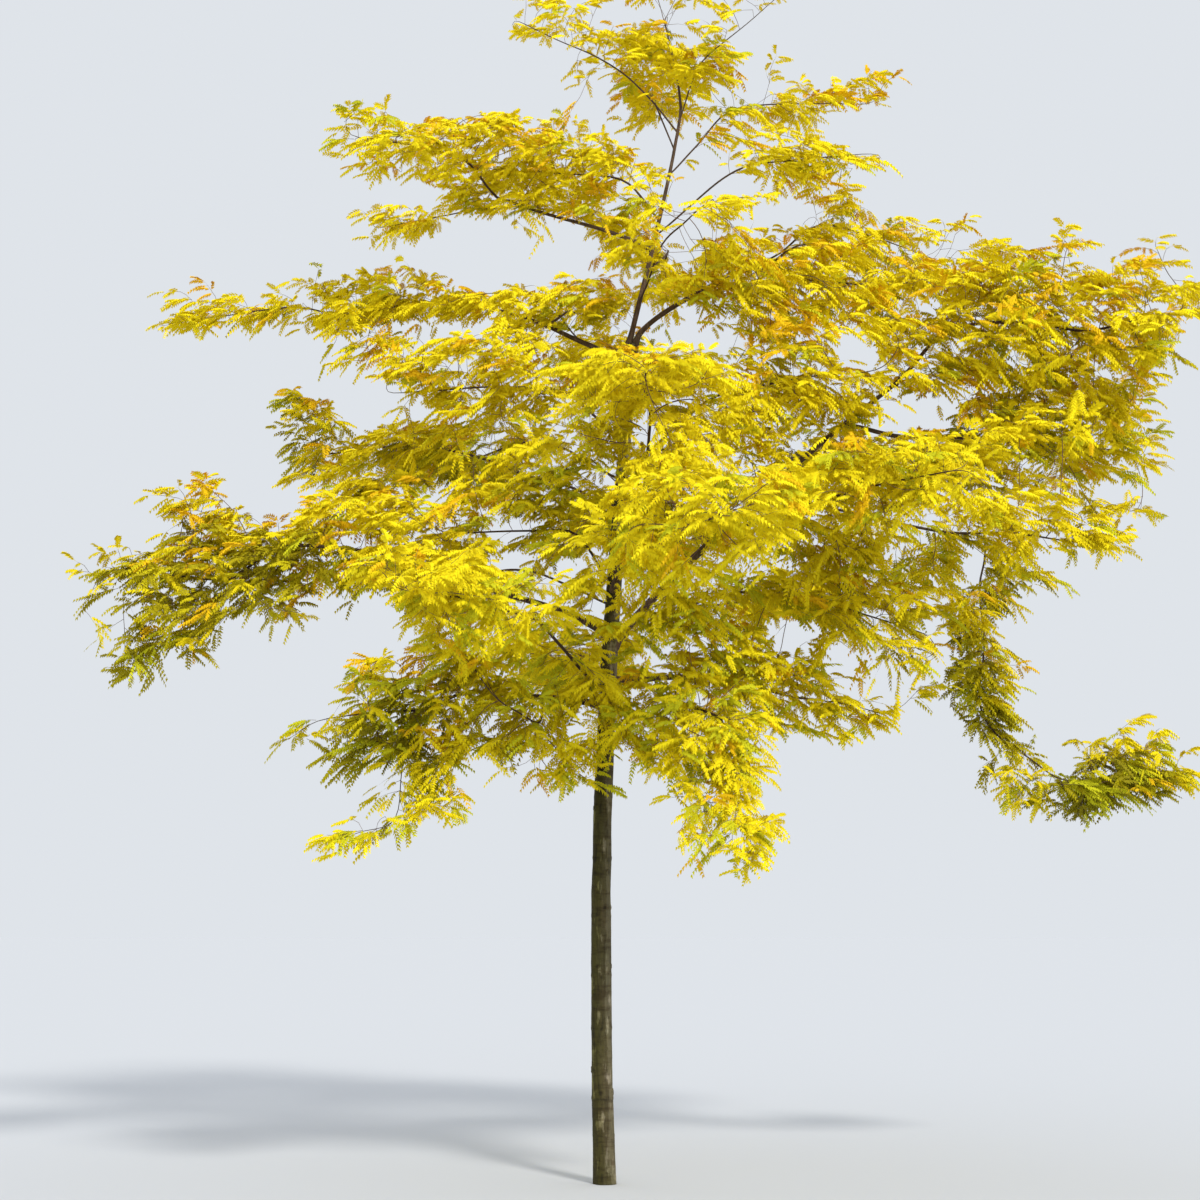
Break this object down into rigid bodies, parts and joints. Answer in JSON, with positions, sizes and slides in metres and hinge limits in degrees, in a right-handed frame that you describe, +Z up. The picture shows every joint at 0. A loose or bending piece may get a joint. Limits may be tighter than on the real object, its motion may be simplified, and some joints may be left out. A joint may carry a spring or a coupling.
{
  "type": "honey locust tree",
  "caption": "Young golden-leaved honey locust: a slender trunk that forks into leaders, boughs, and open, layered tiers of feathery yellow foliage",
  "frame": {"origin": "centre of the flat cut under the trunk, at ground level", "axes": "+Z up, +X to the right and +Y away as the tree is seen from the front"},
  "size_m": [7.3826, 5.8881, 8.182],
  "materials": {
    "trunk_bark": "matte grey-brown young bark, with lenticels and low ridges",
    "bough_bark": "matte reddish dark brown bark of the boughs and twigs",
    "foliage": "golden yellow, softly matte leaflets, from orange gold at the tips to olive gold inside"
  },
  "bodies": {
    "root": {"back_bough": "bough_bark", "back_low": "foliage", "back_low_bough": "bough_bark", "back_low_left": "foliage", "back_low_right": "foliage", "back_middle": "foliage", "back_middle_left": "foliage", "centre_front": "foliage", "centre_left": "foliage", "centre_right": "foliage", "centre_right_low": "foliage", "front_bough": "bough_bark", "front_low": "foliage", "front_low_left": "foliage", "leader": "bough_bark", "left_bough": "bough_bark", "left_low": "foliage", "left_low_inner": "foliage", "left_low_tip": "foliage", "left_outer": "foliage", "lower_left": "foliage", "lower_left_bough": "bough_bark", "lower_left_droop": "foliage", "lower_left_inner": "foliage", "lower_right": "foliage", "lower_right_arm": "foliage", "lower_right_bough": "bough_bark", "lower_right_droop": "foliage", "mid_left_bough": "bough_bark", "middle_back": "foliage", "middle_left": "foliage", "middle_left_inner": "foliage", "middle_left_tip": "foliage", "middle_right": "foliage", "middle_right_inner": "foliage", "right_back": "foliage", "right_bough": "bough_bark", "right_front": "foliage", "right_hanging": "foliage", "right_hanging_tip": "foliage", "right_high": "foliage", "right_high_tip": "foliage", "right_leader": "bough_bark", "right_low": "foliage", "right_middle": "foliage", "right_middle_tip": "foliage", "top_back": "foliage", "top_left": "foliage", "top_middle": "foliage", "top_right": "foliage", "trunk": "trunk_bark", "upper_back": "foliage", "upper_front": "foliage", "upper_left": "foliage", "upper_left_bough": "bough_bark", "upper_left_lobe": "foliage", "upper_left_tip": "foliage", "upper_right": "foliage", "upper_right_high": "foliage", "upper_right_low": "foliage"}
  },
  "joints": []
}
